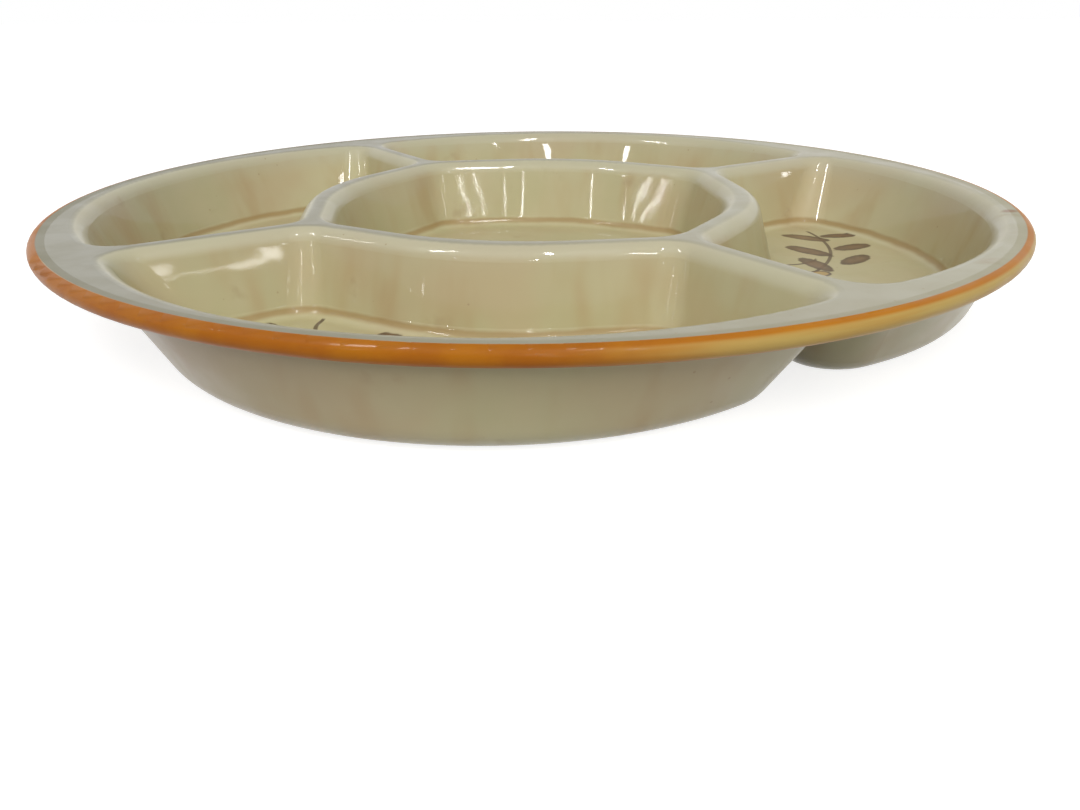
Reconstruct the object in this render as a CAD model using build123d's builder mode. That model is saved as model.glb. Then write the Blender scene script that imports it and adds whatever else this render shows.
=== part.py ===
from build123d import *
import math
import os

# A round stoneware serving dish in millimetres: an eight-sided bowl in the middle, four
# outer wells with a divider between each pair, and a broad flange with a rolled lip.
# The origin is the middle of the resting face, +Z is up and the front is -Y.
# The dividers stand on the diagonals, so each outer well is centred on an axis.

# overall
RIM_RADIUS = 160.0
DISH_HEIGHT = 31.0
WALL = 5.0

# rim: the lip stands a little above the ridges, and the flange is widest at the dividers
LIP_RISE = 0.6
BAND_WIDTH = 5.0
FLANGE_WIDTH = 17.5
FLANGE_NARROW = 9.5

# ridges between the hollows: each spans two walls and the open groove beneath it
GROOVE_WIDTH = 2.2
RIDGE_ROUND = 5.8
DIVIDER_RUN = 55.5

# how far each side of the bowl swells beyond a straight line between two dividers, and the
# radius of the bend in its middle, both as shares of the ridge's corner radius
SIDE_SWELL = 0.247
SIDE_CURVE = 0.92

# draft of the walls: a well's rim wall leans more than the others, and most at its ends
DRAFT_ANGLE = 15.0
APEX_DRAFT_ANGLE = 17.6
END_DRAFT_ANGLE = 32.0

# corners seen from above, and the turn of the walls into the floor: a well's corners are
# sharper at the mouth than at the foot
MOUTH_CORNER = 8.0
FOOT_CORNER = 13.0
BOWL_CORNER = 15.0
FLOOR_ROUND = 5.0

# how far a divider's own piece keeps clear of the bowl ridge and of the flange
BOWL_JOINT_INSET = 6.0
FLANGE_JOINT_INSET = 13.0

# levels
RIDGE_LEVEL = DISH_HEIGHT - LIP_RISE
SEAM_LEVEL = RIDGE_LEVEL - WALL
FLOOR_LEVEL = WALL
EDGE_SLACK = 0.01

# leaning walls measured level, and the ridge that two of them carry
SLOPE = math.tan(math.radians(DRAFT_ANGLE))
APEX_SLOPE = math.tan(math.radians(APEX_DRAFT_ANGLE))
END_SLOPE = math.tan(math.radians(END_DRAFT_ANGLE))
SKIN = WALL / math.cos(math.radians(DRAFT_ANGLE))
RIDGE_WIDTH = 2 * (SKIN - WALL * SLOPE) + GROOVE_WIDTH
BASE_ROUND = FLOOR_ROUND + WALL

# turn of each outer well from the front one, and of each divider from the front right one
WELL_TURNS = {"front_well": 0, "right_well": 90, "back_well": 180, "left_well": 270}
DIVIDER_TURNS = {
    "front_right_divider": 0,
    "back_right_divider": 90,
    "back_left_divider": 180,
    "front_left_divider": 270,
}
FRONT = -90
FRONT_RIGHT = -45
HALF_WELL = math.radians(FRONT_RIGHT - FRONT)

# plan, all at ridge level
DIVIDER_END = RIM_RADIUS - FLANGE_WIDTH
WELL_APEX = RIM_RADIUS - FLANGE_NARROW
FLANGE_START = DIVIDER_END - RIDGE_ROUND
BAND_START = RIM_RADIUS - BAND_WIDTH

# the bowl ridge has a corner at each divider and a blunter one in the middle of each well
RIDGE_VERTEX = DIVIDER_END - DIVIDER_RUN
SIDE_SHARE = math.cos(HALF_WELL) + SIDE_SWELL
SIDE_CORNER = RIDGE_VERTEX * SIDE_CURVE
FACET_SLOPE = (1 / SIDE_SHARE - math.cos(HALF_WELL)) / math.sin(HALF_WELL)
FACET_STRETCH = math.hypot(1, FACET_SLOPE)

# where a divider's own piece starts and ends
BOWL_JOINT = RIDGE_VERTEX + BOWL_JOINT_INSET
FLANGE_JOINT = DIVIDER_END - FLANGE_JOINT_INSET
MID_DIVIDER = (BOWL_JOINT + FLANGE_JOINT) / 2


def plan_point(radius, angle, aside=0.0):
    """A point seen from above, at a radius along a direction and moved aside from it."""
    turn = math.radians(angle)
    x = radius * math.cos(turn) + aside * math.sin(turn)
    y = radius * math.sin(turn) - aside * math.cos(turn)
    return (x, y)


def well_outline(level, grow):
    """Front well cut level at a height, with its walls moved outwards by grow."""
    depth = RIDGE_LEVEL - level
    half = RIDGE_WIDTH / 2 + depth * SLOPE
    reach = RIDGE_VERTEX + depth * SLOPE * FACET_STRETCH
    end = DIVIDER_END - depth * END_SLOPE
    bowl_right = plan_point(reach - half * FACET_SLOPE, FRONT_RIGHT, half)
    rim_right = plan_point(end, FRONT_RIGHT, half)
    bowl_left = (-bowl_right[0], bowl_right[1])
    rim_left = (-rim_right[0], rim_right[1])
    vertex = plan_point(reach * SIDE_SHARE, FRONT)
    apex = plan_point(WELL_APEX - depth * APEX_SLOPE, FRONT)
    corner = MOUTH_CORNER + (FOOT_CORNER - MOUTH_CORNER) * depth / RIDGE_LEVEL
    with BuildSketch() as outline:
        with BuildLine():
            Polyline(rim_left, bowl_left, vertex, bowl_right, rim_right)
            ThreePointArc(rim_right, apex, rim_left)
        make_face()
        fillet(outline.vertices().sort_by_distance(vertex)[0], SIDE_CORNER)
        fillet(outline.vertices().sort_by_distance(vertex)[2:], corner)
        offset(amount=grow)
    return outline.sketch


def bowl_outline(level, grow):
    """Middle bowl cut level at a height, with its walls moved outwards by grow."""
    depth = RIDGE_LEVEL - level
    reach = RIDGE_VERTEX - (RIDGE_WIDTH + depth * SLOPE) * FACET_STRETCH
    points = []
    for turn in WELL_TURNS.values():
        points.append(plan_point(reach * SIDE_SHARE, FRONT + turn))
        points.append(plan_point(reach, FRONT_RIGHT + turn))
    with BuildSketch() as outline:
        with BuildLine():
            Polyline(*points, close=True)
        make_face()
        corners = outline.vertices().sort_by_distance((0, 0))
        fillet(corners[:4], SIDE_CORNER)
        fillet(outline.vertices().sort_by_distance((0, 0))[-4:], BOWL_CORNER)
        offset(amount=grow)
    return outline.sketch


def leaning_block(outline, grow, bottom, top, turn_in):
    """Solid between an outline's cuts at two levels, turned in at the foot."""
    with BuildPart() as block:
        for level in (bottom, top):
            with BuildSketch(Plane.XY.offset(level)):
                add(outline(level, grow))
        loft(ruled=True)
        fillet(block.faces().sort_by(Axis.Z)[0].edges(), turn_in)
    return block.part


def plate_section():
    """Half section of the plate through a divider: flat, then rising to a full round lip."""
    lip = WALL / 2
    run = RIM_RADIUS - lip - FLANGE_START
    bend = (run**2 + (LIP_RISE - lip) ** 2 - lip**2) / (2 * LIP_RISE)
    # both faces of the rise share one centre, so the plate keeps its thickness
    centre_z = RIDGE_LEVEL + bend
    lip_x = RIM_RADIUS - lip
    lip_z = DISH_HEIGHT - lip
    toward_x = run / (bend + lip)
    toward_z = (lip_z - centre_z) / (bend + lip)
    top_end = (FLANGE_START + toward_x * bend, centre_z + toward_z * bend)
    under_end = (FLANGE_START + toward_x * (bend + WALL), centre_z + toward_z * (bend + WALL))
    outermost = (lip_x - toward_z * lip, lip_z + toward_x * lip)
    with BuildSketch() as section:
        with BuildLine():
            Polyline((FLANGE_START, SEAM_LEVEL), (0, SEAM_LEVEL), (0, RIDGE_LEVEL), (FLANGE_START, RIDGE_LEVEL))
            RadiusArc((FLANGE_START, RIDGE_LEVEL), top_end, -bend)
            ThreePointArc(top_end, outermost, under_end)
            RadiusArc(under_end, (FLANGE_START, SEAM_LEVEL), bend + WALL)
        make_face()
    return section.sketch


def is_mouth_edge(edge):
    """True for an edge between a hollow's wall and the top of the plate."""
    if edge.center().Z < RIDGE_LEVEL - EDGE_SLACK:
        return False
    if edge.geom_type != GeomType.CIRCLE:
        return True
    return math.hypot(edge.arc_center.X, edge.arc_center.Y) > EDGE_SLACK


def divider_windows(turn=0, count=len(DIVIDER_TURNS), mode=Mode.SUBTRACT):
    """Rectangles round the dividers seen from above, clear of the bowl ridge and the flange."""
    with PolarLocations(MID_DIVIDER, count, start_angle=FRONT_RIGHT + turn):
        Rectangle(FLANGE_JOINT - BOWL_JOINT, 3 * RIDGE_WIDTH, mode=mode)


# hollows of the front well and of the middle bowl, cut up through the plate
well_hollow = leaning_block(well_outline, 0, FLOOR_LEVEL, DISH_HEIGHT + WALL, FLOOR_ROUND)
bowl_hollow = leaning_block(bowl_outline, 0, FLOOR_LEVEL, DISH_HEIGHT + WALL, FLOOR_ROUND)
well_cup = leaning_block(well_outline, SKIN, 0, RIDGE_LEVEL, BASE_ROUND)
bowl_cup = leaning_block(bowl_outline, SKIN, 0, RIDGE_LEVEL, BASE_ROUND)
seam = Plane.XY.offset(SEAM_LEVEL)

# everything above the seam as one body, from which the ridges and the rim are cut
with BuildPart() as web:
    with BuildSketch(Plane.XZ.rotated((0, 0, FRONT_RIGHT))):
        add(plate_section())
    revolve(axis=Axis.Z)
    for turn in WELL_TURNS.values():
        add(well_cup.rotate(Axis.Z, turn))
    split(bisect_by=seam, keep=Keep.TOP)
    for turn in WELL_TURNS.values():
        add(well_hollow.rotate(Axis.Z, turn), mode=Mode.SUBTRACT)
    add(bowl_hollow, mode=Mode.SUBTRACT)
    fillet(web.edges().filter_by(is_mouth_edge), RIDGE_ROUND)

# orange lip round the outside
with BuildPart() as rim_band:
    add(web.part)
    with BuildSketch(seam):
        Circle(BAND_START)
    extrude(amount=DISH_HEIGHT, mode=Mode.SUBTRACT)

# flange from the lip in to the wells, with the outer ends of the dividers
with BuildPart() as rim_flange:
    add(web.part)
    with BuildSketch(seam):
        Circle(BAND_START)
        Circle(MID_DIVIDER, mode=Mode.SUBTRACT)
        divider_windows()
    extrude(amount=DISH_HEIGHT, mode=Mode.INTERSECT)

# eight-sided ridge round the bowl, with the inner ends of the dividers
with BuildPart() as bowl_ridge:
    add(web.part)
    with BuildSketch(seam):
        Circle(MID_DIVIDER)
        divider_windows()
    extrude(amount=DISH_HEIGHT, mode=Mode.INTERSECT)

# middle bowl, below the seam
with BuildPart() as center_bowl:
    add(bowl_cup)
    split(bisect_by=seam, keep=Keep.BOTTOM)
    add(bowl_hollow, mode=Mode.SUBTRACT)

os.makedirs("parts", exist_ok=True)

rim_band.part.label = "rim_band"
export_step(rim_band.part, "parts/rim_band.step")
rim_flange.part.label = "rim_flange"
export_step(rim_flange.part, "parts/rim_flange.step")
bowl_ridge.part.label = "bowl_ridge"
export_step(bowl_ridge.part, "parts/bowl_ridge.step")
center_bowl.part.label = "center_bowl"
export_step(center_bowl.part, "parts/center_bowl.step")

# one straight divider between each pair of wells
for name, turn in DIVIDER_TURNS.items():
    with BuildPart() as divider:
        add(web.part)
        with BuildSketch(seam):
            divider_windows(turn, 1, Mode.ADD)
        extrude(amount=DISH_HEIGHT, mode=Mode.INTERSECT)
    divider.part.label = name
    export_step(divider.part, f"parts/{name}.step")

# one cup under each outer mouth, below the seam
for name, turn in WELL_TURNS.items():
    with BuildPart() as well:
        add(well_cup.rotate(Axis.Z, turn))
        split(bisect_by=seam, keep=Keep.BOTTOM)
        add(well_hollow.rotate(Axis.Z, turn), mode=Mode.SUBTRACT)
    well.part.label = name
    export_step(well.part, f"parts/{name}.step")
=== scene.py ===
import math

import bpy
from mathutils import Matrix, Vector

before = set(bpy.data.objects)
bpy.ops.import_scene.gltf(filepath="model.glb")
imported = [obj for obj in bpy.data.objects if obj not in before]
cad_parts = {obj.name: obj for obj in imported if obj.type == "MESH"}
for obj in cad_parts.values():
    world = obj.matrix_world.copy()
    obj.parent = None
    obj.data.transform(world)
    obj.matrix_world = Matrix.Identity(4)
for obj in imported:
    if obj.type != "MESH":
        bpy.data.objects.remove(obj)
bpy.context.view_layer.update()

# camera, fitted to the rim of the photographed dish: metres and degrees
CAMERA_TURN = 12.69
CAMERA_DISTANCE = 0.3264
CAMERA_HEIGHT = 0.0929
CAMERA_PITCH = 23.96
CAMERA_YAW = 0.36
CAMERA_ROLL = -0.57
PHOTO_WIDTH = 1080
FOCAL_PIXELS = 914.0
SENSOR_WIDTH = 36.0
NEAREST_SEEN = 0.01

# places on the dish that the glaze follows, in metres
LIP_RADIUS = 0.1575
LIP_LEVEL = 0.0285
FLOOR_LEVEL = 0.005
RIDGE_LEVEL = 0.0304

# level direction that points to the right of the photograph
RIGHTWARD = (0.9756, 0.2197, 0.0)

# turn of each outer well from the front one, in degrees
WELL_TURNS = {"front_well": 0, "right_well": 90, "back_well": 180, "left_well": 270}

# glaze colours, linear
CREAM = (0.475, 0.425, 0.245)
OLIVE = (0.445, 0.408, 0.225)
TAN = (0.455, 0.368, 0.208)
RUST = (0.410, 0.295, 0.140)
# painted sheen for the rounding of the ridges
PAINTED_SHEEN = (0.470, 0.450, 0.330)
# painted shade for level tops
LEVEL_SHADE = (0.220, 0.206, 0.138)
# painted shade for the outside, most of all under the flange
UNDER_SHADE = (0.275, 0.176, 0.093)
POOL = (0.300, 0.195, 0.065)
SMUDGE = (0.300, 0.200, 0.100)
ORANGE = (0.385, 0.128, 0.001)
ORANGE_DEEP = (0.335, 0.098, 0.001)
ORANGE_PALE = (0.480, 0.190, 0.012)
OCHRE = (0.455, 0.315, 0.090)
BROWN = (0.050, 0.020, 0.008)
BROWN_PALE = (0.140, 0.070, 0.030)
BERRY = (0.400, 0.250, 0.070)
FLECK = (0.240, 0.110, 0.040)

# sockets of a colour mix: the share of the second colour, the two colours, and the result
MIX_SHARE = 0
MIX_COLOURS = (6, 7)
MIX_RESULT = 2


def add_camera():
    """Camera at the photograph's own place, with its lens."""
    turn = math.radians(CAMERA_TURN)
    data = bpy.data.cameras.new("photo_camera")
    data.sensor_width = SENSOR_WIDTH
    data.lens = SENSOR_WIDTH * FOCAL_PIXELS / PHOTO_WIDTH
    data.clip_start = NEAREST_SEEN
    camera = bpy.data.objects.new("photo_camera", data)
    bpy.context.scene.collection.objects.link(camera)
    place = Vector((math.sin(turn), -math.cos(turn), 0)) * CAMERA_DISTANCE
    place.z = CAMERA_HEIGHT
    heading = Matrix.Rotation(turn - math.radians(CAMERA_YAW), 4, "Z")
    tilt = Matrix.Rotation(math.radians(90 - CAMERA_PITCH), 4, "X")
    roll = Matrix.Rotation(math.radians(CAMERA_ROLL), 4, "Z")
    camera.matrix_world = Matrix.Translation(place) @ heading @ tilt @ roll
    bpy.context.scene.camera = camera


class Net:
    """Short names for the nodes of one material."""

    def __init__(self, name):
        self.mat = bpy.data.materials.new(name)
        self.mat.use_nodes = True
        self.tree = self.mat.node_tree
        self.shader = self.tree.nodes["Principled BSDF"]
        self.coords = self.tree.nodes.new("ShaderNodeTexCoord").outputs["Object"]
        self.normal = self.tree.nodes.new("ShaderNodeNewGeometry").outputs["Normal"]

    def put(self, socket, value):
        """Link a socket to another one, or set it to a value."""
        if isinstance(value, bpy.types.NodeSocket):
            self.tree.links.new(value, socket)
        else:
            socket.default_value = value

    def calc(self, operation, first, second=0.0, third=0.0):
        """Arithmetic on up to three numbers."""
        node = self.tree.nodes.new("ShaderNodeMath")
        node.operation = operation
        for socket, value in zip(node.inputs, (first, second, third)):
            self.put(socket, value)
        return node.outputs[0]

    def times(self, first, *others):
        """Product of two or more numbers."""
        for other in others:
            first = self.calc("MULTIPLY", first, other)
        return first

    def vector(self, operation, first, second=(0, 0, 0)):
        """Arithmetic on up to two vectors: a number for a length or a dot product, or else a vector."""
        node = self.tree.nodes.new("ShaderNodeVectorMath")
        node.operation = operation
        self.put(node.inputs[0], first)
        self.put(node.inputs[1], second)
        return node.outputs["Value" if operation in ("LENGTH", "DOT_PRODUCT") else "Vector"]

    def split(self, vector):
        """The three parts of a vector."""
        node = self.tree.nodes.new("ShaderNodeSeparateXYZ")
        self.put(node.inputs[0], vector)
        return node.outputs

    def ramp(self, value, start, end, low=0.0, high=1.0):
        """Value carried smoothly from low at start to high at end."""
        node = self.tree.nodes.new("ShaderNodeMapRange")
        node.interpolation_type = "SMOOTHSTEP"
        for name, number in (("From Min", start), ("From Max", end), ("To Min", low), ("To Max", high)):
            self.put(node.inputs[name], number)
        self.put(node.inputs["Value"], value)
        return node.outputs["Result"]

    def noise(self, scale, detail, stretch=None, shift=(0, 0, 0)):
        """Cloudy noise between nought and one, with about as many clouds in a metre as its scale."""
        coords = self.vector("MULTIPLY", self.coords, stretch) if stretch else self.coords
        node = self.tree.nodes.new("ShaderNodeTexNoise")
        self.put(node.inputs["Vector"], self.vector("ADD", coords, shift))
        node.inputs["Scale"].default_value = scale
        node.inputs["Detail"].default_value = detail
        return node.outputs["Fac"]

    def patches(self, start, end, low=0.0, high=1.0, **pattern):
        """Noise carried smoothly from low at start to high at end."""
        return self.ramp(self.noise(**pattern), start, end, low, high)

    def stray(self, reach, low, **pattern):
        """Noise spread over a reach above a low value."""
        return self.calc("MULTIPLY_ADD", self.noise(**pattern), reach, low)

    def mix(self, amount, first, second):
        """Colour between two colours."""
        node = self.tree.nodes.new("ShaderNodeMix")
        node.data_type = "RGBA"
        self.put(node.inputs[MIX_SHARE], amount)
        for socket, colour in zip(MIX_COLOURS, (first, second)):
            self.put(node.inputs[socket], (*colour, 1) if isinstance(colour, tuple) else colour)
        return node.outputs[MIX_RESULT]

    def bump(self, height):
        """Height in metres, felt by the glaze and by its clear gloss."""
        node = self.tree.nodes.new("ShaderNodeBump")
        node.inputs["Distance"].default_value = 1.0
        self.put(node.inputs["Height"], height)
        for name in ("Normal", "Coat Normal"):
            self.put(self.shader.inputs[name], node.outputs["Normal"])


# mottling: the noise, and the part of it over which the second colour comes in
CLOUDS = dict(scale=38, detail=3, start=0.35, end=0.70)
DRIFT = dict(scale=22, detail=3, shift=(3, 1, 0), start=0.42, end=0.68, high=0.85)
SMUDGES = dict(scale=62, detail=4, shift=(5, 5, 5), start=0.64, end=0.80, high=0.45)

# facing, in all that follows, is how far up a surface looks: one on a level top, nought on an
# upright wall, and less than nought on an underside

# runs down the walls: the pattern is drawn out along the height
RUNS = dict(scale=80, detail=2, stretch=(1, 1, 0.14), start=0.46, end=0.80, high=0.60)
RUNS_FACING = (0.45, 0.75)

# painted sheen on the ridges: how far down it reaches, facing and strength
CREST_DEPTH = 0.010
CREST_FACING = (0.1, 0.6)
CREST_STRENGTH = 0.6

# painted shade on level tops: greyer, darker glaze, which weakens over a stretch from left to right
LEVEL_DEPTH = 0.003
LEVEL_FACING = (0.92, 1.0)
LEVEL_STRETCH = (-0.12, 0.14)
LEVEL_STRENGTHS = (0.95, 0.35)

# painted shade on the outside: facing, then strength at the top of a rise and at the left of a stretch
UNDER_SHADE_FACING = (-0.20, -0.04)
UNDER_SHADE_RISE = (0.004, 0.026)
UNDER_SHADE_RISE_STRENGTH = 0.20
UNDER_SHADE_STRETCH = (-0.12, 0.0)
UNDER_SHADE_STRETCH_STRENGTH = 0.7

# brown line at the foot of the inner walls: height, half width, strength and facing
POOL_HEIGHT = dict(scale=55, detail=3, shift=(0, 7, 2), reach=0.0016, low=FLOOR_LEVEL + 0.0012)
POOL_WIDTH = (0.0003, 0.0015)
POOL_STRENGTH = 0.75
POOL_FACING = (0.05, 0.3)

# iron specks: cells in a metre, radius as a share of a cell, which cells have one, and strength
SPECK_SCALE = 260
SPECK_RADIUS = (0.05, 0.13)
SPECK_CHOICE = (0.86, 0.90)
SPECK_STRENGTH = 0.5

# brown fleck on the edge of the flange: place, radius and strength
FLECK_PLACE = (0.1550, -0.0080, 0.0308)
FLECK_RADIUS = (0.0010, 0.0032)
FLECK_STRENGTH = 0.8


def body_glaze(net):
    """Cream glaze with mottling, runs, smudges, iron specks and a brown line where it pools, with painted
    sheen on the ridges and painted shade on level tops and the outside.
    """
    height = net.split(net.coords)[2]
    facing = net.split(net.normal)[2]
    rightward = net.vector("DOT_PRODUCT", net.coords, RIGHTWARD)

    colour = net.mix(net.patches(**CLOUDS), CREAM, OLIVE)
    colour = net.mix(net.patches(**DRIFT), colour, TAN)
    wall = net.ramp(facing, *RUNS_FACING, 1, 0)
    colour = net.mix(net.times(net.patches(**RUNS), wall), colour, RUST)

    # painted sheen: paler glaze over the rounding of the ridges, where light glances off; painted shade:
    # greyer, darker level tops, most of all on the flange at the left
    crest = net.ramp(height, RIDGE_LEVEL - CREST_DEPTH, RIDGE_LEVEL)
    crest = net.times(crest, net.ramp(facing, *CREST_FACING, 0, CREST_STRENGTH))
    colour = net.mix(crest, colour, PAINTED_SHEEN)
    # painted shade on level tops, strongest at the left
    level = net.ramp(height, RIDGE_LEVEL - LEVEL_DEPTH, RIDGE_LEVEL)
    level = net.times(level, net.ramp(facing, *LEVEL_FACING))
    side_share = net.ramp(rightward, *LEVEL_STRETCH, *LEVEL_STRENGTHS)
    colour = net.mix(net.times(level, side_share), colour, LEVEL_SHADE)

    # painted shade on the outside: pinkish brown, most of all high up under the flange and at the left
    under = net.ramp(facing, *UNDER_SHADE_FACING, 1, 0)
    high_up = net.ramp(height, *UNDER_SHADE_RISE, 0, UNDER_SHADE_RISE_STRENGTH)
    leftward = net.ramp(rightward, *UNDER_SHADE_STRETCH, UNDER_SHADE_STRETCH_STRENGTH, 0)
    colour = net.mix(net.times(under, net.calc("ADD", high_up, leftward)), colour, UNDER_SHADE)

    # brown line where the glaze pools at the foot of the inner walls
    off = net.calc("ABSOLUTE", net.calc("SUBTRACT", height, net.stray(**POOL_HEIGHT)))
    pool = net.times(net.ramp(off, *POOL_WIDTH, POOL_STRENGTH, 0), net.ramp(facing, *POOL_FACING))
    colour = net.mix(pool, colour, POOL)

    # a few faint smudges, scattered iron specks and one large fleck
    colour = net.mix(net.patches(**SMUDGES), colour, SMUDGE)
    cells = net.tree.nodes.new("ShaderNodeTexVoronoi")
    cells.inputs["Scale"].default_value = SPECK_SCALE
    net.put(cells.inputs["Vector"], net.coords)
    speck = net.ramp(cells.outputs["Distance"], *SPECK_RADIUS, 1, 0)
    chosen = net.ramp(net.split(cells.outputs["Color"])[0], *SPECK_CHOICE, 0, SPECK_STRENGTH)
    colour = net.mix(net.times(speck, chosen), colour, SMUDGE)
    fleck = net.vector("LENGTH", net.vector("SUBTRACT", net.coords, FLECK_PLACE))
    return net.mix(net.ramp(fleck, *FLECK_RADIUS, FLECK_STRENGTH, 0), colour, FLECK), pool


# orange band, by the angle round the lip's section, in degrees: nought outwards and 90 upwards
BAND_STRAY = dict(scale=14, detail=2, reach=20.0, low=-10.0)
BAND_TOP = (88, 98)
BAND_BOTTOM = (-98, -84)
BAND_TONES = dict(scale=90, detail=3, start=0.35, end=0.7)

# where the band is rubbed thin: a stretch from left to right in metres, and angles
RUBBED_STRAY = dict(scale=16, detail=2, shift=(1, 4, 9), reach=0.08, low=-0.04)
RUBBED_STRETCH = (0.0, 0.06)
RUBBED_TOP = (34, 58)
RUBBED_BOTTOM = (-60, -40)
RUBBED_STREAKS = dict(scale=60, detail=3, stretch=(0.4, 0.4, 8), start=0.35, end=0.75, low=1.0, high=0.6)
RUBBED_PALENESS = 0.5


def lip_glaze(net, colour):
    """Hand-banded orange on the outer face of the lip, thick in places and thin in others."""
    x, y, z = net.split(net.coords)
    radius = net.calc("SQRT", net.calc("ADD", net.times(x, x), net.times(y, y)))
    rise = net.calc("SUBTRACT", z, LIP_LEVEL)
    reach = net.calc("SUBTRACT", radius, LIP_RADIUS)
    angle = net.times(net.calc("ARCTAN2", rise, reach), 180 / math.pi)
    angle = net.calc("ADD", angle, net.stray(**BAND_STRAY))
    band = net.times(net.ramp(angle, *BAND_TOP, 1, 0), net.ramp(angle, *BAND_BOTTOM, 0, 1))

    # towards the right the band is rubbed thin between its edges
    rightward = net.vector("DOT_PRODUCT", net.coords, RIGHTWARD)
    side_share = net.ramp(net.calc("ADD", rightward, net.stray(**RUBBED_STRAY)), *RUBBED_STRETCH)
    middle = net.times(net.ramp(angle, *RUBBED_TOP, 1, 0), net.ramp(angle, *RUBBED_BOTTOM, 0, 1))
    orange = net.mix(net.patches(**BAND_TONES), ORANGE, ORANGE_DEEP)
    orange = net.mix(net.times(side_share, RUBBED_PALENESS), orange, ORANGE_PALE)
    orange = net.mix(net.times(side_share, net.patches(**RUBBED_STREAKS), middle), orange, OCHRE)
    return net.mix(band, colour, orange), band


# strength and roughness of the clear gloss, and the share of it where iron pools most
BODY_GLOSS = (0.38, 0.040)
LIP_GLOSS = (0.14, 0.10)
POOL_GLOSS = 0.35

# roughness of the softer glaze under it
SOFTNESS = dict(scale=70, detail=3, shift=(2, 2, 8), start=0.3, end=0.7, low=0.35, high=0.50)

# slow waves, ripples and orange peel: height in metres, and the noise
UNEVENNESS = [
    (0.00016, dict(scale=42, detail=1)),
    (0.000012, dict(scale=130, detail=1, shift=(4, 0, 1))),
    (0.0000015, dict(scale=900, detail=1)),
]
BAND_THICKNESS = 0.00006


def glaze_surface(net, colour, pool, gloss, extra_height=None):
    """Clear gloss over a softer glaze, with slow waves and orange peel, and dull where the iron pools."""
    strength, roughness = gloss
    coat = net.times(net.ramp(pool, 0, POOL_STRENGTH, 1, POOL_GLOSS), strength)
    net.put(net.shader.inputs["Base Color"], colour)
    net.put(net.shader.inputs["Roughness"], net.patches(**SOFTNESS))
    net.put(net.shader.inputs["Specular IOR Level"], strength / 2)
    net.put(net.shader.inputs["Coat Weight"], coat)
    net.put(net.shader.inputs["Coat Roughness"], roughness)
    layers = [net.times(net.noise(**pattern), height) for height, pattern in UNEVENNESS]
    if extra_height is not None:
        layers.append(extra_height)
    total = layers[0]
    for layer in layers[1:]:
        total = net.calc("ADD", total, layer)
    net.bump(total)
    return net.mat


def cream_material(name):
    """Plain cream glaze, for the members that carry no paint."""
    net = Net(name)
    return glaze_surface(net, *body_glaze(net), BODY_GLOSS)


def lip_material(name):
    """Cream glaze under the orange band, which stands a little proud."""
    net = Net(name)
    colour, pool = body_glaze(net)
    colour, band = lip_glaze(net, colour)
    return glaze_surface(net, colour, pool, LIP_GLOSS, net.times(band, BAND_THICKNESS))


# painted sprig on each outer well's floor, in millimetres seen with the front well in front:
# its middle, across and out from the middle of the dish
MM = 0.001
SPRIG_PLACES = {
    "front_well": (-24.0, -98.0),
    "right_well": (36.0, -107.0),
    "back_well": (-12.0, -108.0),
    "left_well": (10.0, -108.0),
}

# leaves: place across and out from the sprig's middle, half length, half width, and turn
LEAVES = [
    (-21, 6.5, 9.5, 3.7, 30),
    (-12, -8.0, 9.0, 3.6, 148),
    (-2, 8.0, 10.0, 4.0, 52),
    (7, -8.5, 9.0, 3.6, 130),
    (19, 8.0, 9.5, 3.7, 68),
    (25, -5.0, 8.0, 3.2, 112),
]

# berries: place and radius
BERRIES = [(-33, 5.5, 3.6), (-37.5, 13.0, 3.2), (-41.0, 4.0, 3.0)]

# stem and tendril: middle and radius of each arc, and the round patch that it shows in
STEMS = [
    (0.0, 70.0, 70.0, -2.0, 3.0, 33.0),
    (-9.0, 20.0, 15.0, -16.0, 21.0, 15.5),
]

# the paint is on the floor alone: facing, and height in metres
PAINT_FACING = (0.90, 0.97)
PAINT_HEIGHT = (0.012, 0.014)

# how far the edges stray, as a share of a dab's radius, and the shares at which they fade
BRUSH_STRAY = dict(scale=330, detail=2, reach=0.34, low=-0.17)
LEAF_EDGE = (0.92, 1.10)
LEAF_STRENGTH = 0.92
BERRY_EDGE = (0.95, 1.12)
BERRY_STRENGTH = 0.85
BERRY_RING = (0.62, 0.85)

# stem: half width in millimetres, strength, fading at its ends, and the share of the stray
STEM_EDGE = (0.45, 0.85)
STEM_STRENGTH = 0.85
STEM_ENDS = (0.96, 1.02)
STEM_STRAY = 0.3

# leaves darken towards their edges, over shares of the radius, and in streaks
DARKENING = (0.25, 0.95)
DARKENING_STRENGTH = 0.8
BRUSH_STREAKS = dict(scale=260, detail=3, start=0.4, end=0.7, high=0.35)


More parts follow.
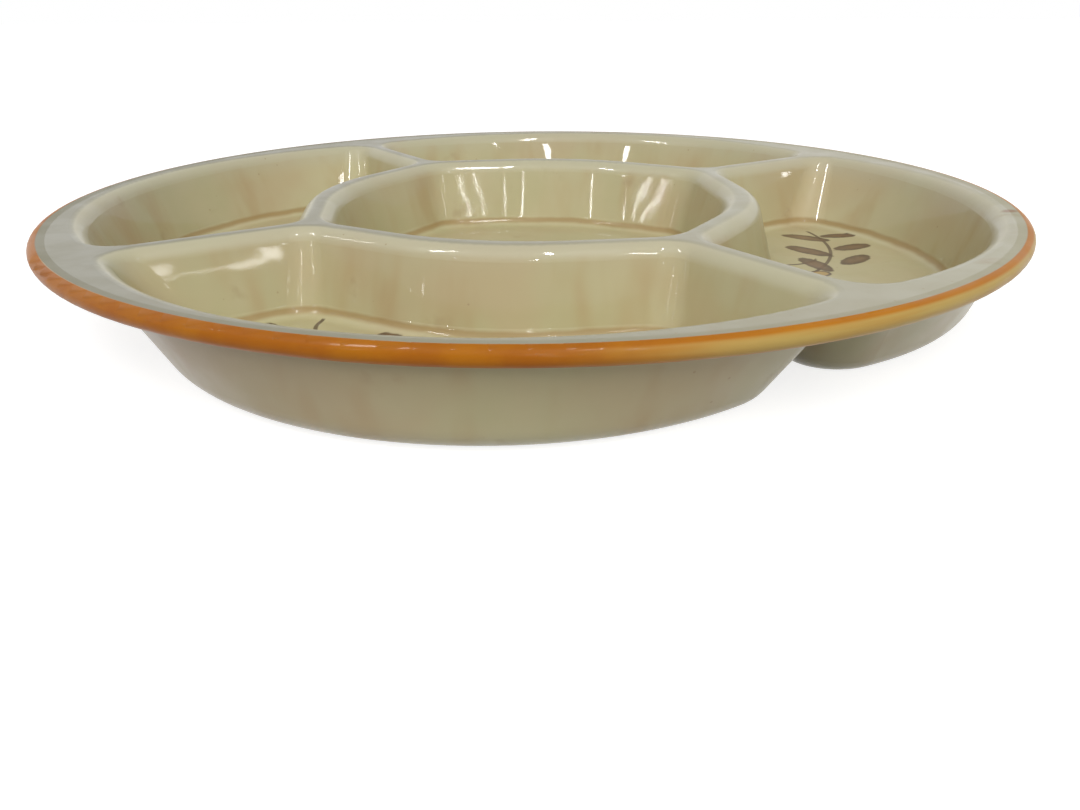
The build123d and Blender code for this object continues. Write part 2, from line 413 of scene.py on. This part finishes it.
def painted_sprig(net, turn, place, colour):
    """Leaves in pairs on a curved stem with three berries at its end, brushed on the floor."""
    brush = net.stray(**BRUSH_STRAY)

    def distance(across, out, half_length, half_width, angle=0):
        """Level distance from the middle of an oval, which is one on its edge."""
        node = net.tree.nodes.new("ShaderNodeMapping")
        node.vector_type = "TEXTURE"
        spot = Vector(((place[0] + across) * MM, (place[1] + out) * MM, 0))
        spot.rotate(Matrix.Rotation(math.radians(turn), 3, "Z"))
        node.inputs["Location"].default_value = spot
        node.inputs["Rotation"].default_value = (0, 0, math.radians(turn + angle))
        node.inputs["Scale"].default_value = (half_length * MM, half_width * MM, 1)
        net.put(node.inputs["Vector"], net.coords)
        return net.vector("LENGTH", net.vector("MULTIPLY", node.outputs[0], (1, 1, 0)))

    def circle(across, out, radius):
        """Level distance from the middle of a circle, which is one on its edge."""
        return distance(across, out, radius, radius)

    def nearest(distances):
        """Least of the distances, with a brushed edge."""
        result = distances[0]
        for other in distances[1:]:
            result = net.calc("MINIMUM", result, other)
        return net.calc("ADD", result, brush)

    floor = net.ramp(net.split(net.normal)[2], *PAINT_FACING)
    floor = net.times(floor, net.ramp(net.split(net.coords)[2], *PAINT_HEIGHT, 1, 0))
    leaf = nearest([distance(*dab) for dab in LEAVES])
    berry = nearest([circle(*dab) for dab in BERRIES])

    stem = 0.0
    for across, out, radius, *patch in STEMS:
        line = net.calc("ABSOLUTE", net.calc("SUBTRACT", circle(across, out, radius), 1.0))
        line = net.calc("MULTIPLY_ADD", line, radius, net.times(brush, STEM_STRAY))
        stroke = net.ramp(line, *STEM_EDGE, STEM_STRENGTH, 0)
        stroke = net.times(stroke, net.ramp(circle(*patch), *STEM_ENDS, 1, 0))
        stem = net.calc("MAXIMUM", stem, stroke)

    colour = net.mix(net.times(stem, floor), colour, BROWN)
    fruit = net.mix(net.ramp(berry, *BERRY_RING), BERRY, BROWN)
    colour = net.mix(net.times(net.ramp(berry, *BERRY_EDGE, BERRY_STRENGTH, 0), floor), colour, fruit)
    dark = net.calc("ADD", net.ramp(leaf, *DARKENING, 0, DARKENING_STRENGTH), net.patches(**BRUSH_STREAKS))
    blade = net.mix(dark, BROWN_PALE, BROWN)
    return net.mix(net.times(net.ramp(leaf, *LEAF_EDGE, LEAF_STRENGTH, 0), floor), colour, blade)


def well_material(name, turn):
    """Cream glaze with the sprig of one outer well."""
    net = Net(f"{name}_glaze")
    colour, pool = body_glaze(net)
    return glaze_surface(net, painted_sprig(net, turn, SPRIG_PLACES[name], colour), pool, BODY_GLOSS)


def dress_nodes():
    """Give every solid its glaze."""
    cream = cream_material("cream_glaze")
    lip = lip_material("banded_glaze")
    for name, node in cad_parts.items():
        if name in WELL_TURNS:
            material = well_material(name, WELL_TURNS[name])
        else:
            material = lip if name == "rim_band" else cream
        node.data.materials.clear()
        node.data.materials.append(material)


# studio: a pale floor and a white room, which look brighter than they light the dish
WHITE = (1, 1, 1, 1)
FLOOR_SIZE = 8.0
FLOOR_COLOUR = (0.46, 0.46, 0.46, 1)
FLOOR_ROUGHNESS = 0.85
FLOOR_GLOSS = 0.1
FLOOR_GLOW = 0.80
WORLD_LIGHT = 0.39
WORLD_WHITE = 1.0


def camera_rays(nodes, links):
    """One for a ray that the camera, a gloss or a glass sends, and nought for light."""
    path = nodes.new("ShaderNodeLightPath")
    value = path.outputs["Is Camera Ray"]
    for name in ("Is Glossy Ray", "Is Transmission Ray"):
        node = nodes.new("ShaderNodeMath")
        node.operation = "MAXIMUM"
        links.new(value, node.inputs[0])
        links.new(path.outputs[name], node.inputs[1])
        value = node.outputs[0]
    return value


def add_floor():
    """Pale table top, which keeps the dish's shadow."""
    bpy.ops.mesh.primitive_plane_add(size=FLOOR_SIZE)
    floor = bpy.context.object
    floor.name = "floor"
    net = Net("pale_floor")
    seen = camera_rays(net.tree.nodes, net.tree.links)
    net.put(net.shader.inputs["Base Color"], FLOOR_COLOUR)
    net.put(net.shader.inputs["Roughness"], FLOOR_ROUGHNESS)
    net.put(net.shader.inputs["Specular IOR Level"], FLOOR_GLOSS)
    net.put(net.shader.inputs["Emission Color"], WHITE)
    net.put(net.shader.inputs["Emission Strength"], net.times(seen, FLOOR_GLOW))
    floor.data.materials.append(net.mat)


def add_world():
    """White room."""
    world = bpy.data.worlds.new("studio")
    bpy.context.scene.world = world
    world.use_nodes = True
    nodes, links = world.node_tree.nodes, world.node_tree.links
    back = nodes["Background"]
    back.inputs["Color"].default_value = WHITE
    node = nodes.new("ShaderNodeMapRange")
    node.inputs["To Min"].default_value = WORLD_LIGHT
    node.inputs["To Max"].default_value = WORLD_WHITE
    links.new(camera_rays(nodes, links), node.inputs["Value"])
    links.new(node.outputs["Result"], back.inputs["Strength"])


def around(turn, rise, distance):
    """Place at a turn from the front, a rise above the table and a distance, in degrees and metres."""
    level = distance * math.cos(math.radians(rise))
    x = level * math.sin(math.radians(turn))
    y = -level * math.cos(math.radians(turn))
    return (x, y, distance * math.sin(math.radians(rise)))


def add_lamp(name, place, aim, size, power):
    """Rectangular lamp at a place, turned to face a point."""
    data = bpy.data.lights.new(name, "AREA")
    data.shape = "RECTANGLE"
    data.size, data.size_y = size
    data.energy = power
    lamp = bpy.data.objects.new(name, data)
    bpy.context.scene.collection.objects.link(lamp)
    lamp.location = place
    lamp.rotation_euler = (Vector(aim) - Vector(place)).to_track_quat("-Z", "Y").to_euler()
    return lamp


# large soft light overhead, which the gloss doesn't see: turn, rise and distance, the point
# that it faces, width and height in metres, and watts
KEY_PLACE = (13, 46, 2.0)
KEY_AIM = (0, 0, 0)
KEY_SIZE = (2.0, 1.4)
KEY_POWER = 34.0

# small bright lamps round the room, which only the gloss sees: turn, rise, width and height
# in degrees, and strength
SPARKS = [
    (13.0, 21.5, 0.35, 5.0, 1.0),
    (20.7, 20.0, 0.12, 4.0, 1.0),
    (22.2, 20.0, 0.12, 4.0, 1.0),
    (60.0, 22.0, 0.8, 2.0, 0.5),
    (72.0, 19.6, 1.2, 1.2, 0.4),
    (13.5, 31.8, 2.0, 2.0, 1.0),
    (-26.3, 20.0, 0.4, 4.0, 1.0),
    (-44.3, 17.3, 0.12, 4.0, 1.0),
    (-45.6, 17.3, 0.12, 4.0, 1.0),
    (-25.2, 29.3, 1.8, 1.8, 1.0),
    (70.2, 53.5, 1.4, 2.5, 0.5),
    (-49.5, 50.0, 1.2, 2.5, 0.7),
    (-80.0, 27.5, 0.5, 2.5, 0.5),
    (-70.8, 14.0, 0.5, 5.0, 0.5),
    (96.0, 10.5, 0.5, 3.0, 0.4),
    (57.6, 16.2, 1.6, 0.9, 0.28),
    (55.6, 15.7, 2.4, 0.5, 0.26),
    (51.8, 15.8, 5.0, 0.16, 0.24),
    (49.4, 16.6, 1.0, 0.7, 0.24),
    (15.2, 11.7, 2.4, 0.9, 0.9),
    (-31.6, 9.8, 2.4, 0.7, 0.7),
    (-37.6, 10.8, 0.6, 0.5, 0.5),
    (-58.5, 5.2, 1.2, 0.4, 0.4),
    (-76.6, 38.5, 0.9, 5.0, 0.7),
    (-52.0, 57.0, 3.4, 11.0, 0.9),
    (26.0, 65.0, 2.8, 14.0, 1.0),
    (37.0, 43.0, 0.8, 9.0, 1.0),
]
SPARK_DISTANCE = 1.5
SPARK_AIM = (0, 0, 0.02)

# radiance of a lamp of strength one, in watts per square metre and steradian
SPARK_RADIANCE = 90.0


def add_lights():
    """The soft light for the dish, and the small lamps that its gloss mirrors."""
    key = add_lamp("front_softbox", around(*KEY_PLACE), KEY_AIM, KEY_SIZE, KEY_POWER)
    key.visible_glossy = False
    for number, (turn, rise, width, height, strength) in enumerate(SPARKS):
        size = [SPARK_DISTANCE * math.radians(angle) for angle in (width, height)]
        power = SPARK_RADIANCE * strength * math.pi * size[0] * size[1]
        spark = add_lamp(f"lamp_{number}", around(turn, rise, SPARK_DISTANCE), SPARK_AIM, size, power)
        spark.visible_diffuse = False


dress_nodes()
add_floor()
add_world()
add_lights()
add_camera()
bpy.context.scene.view_settings.view_transform = "Standard"
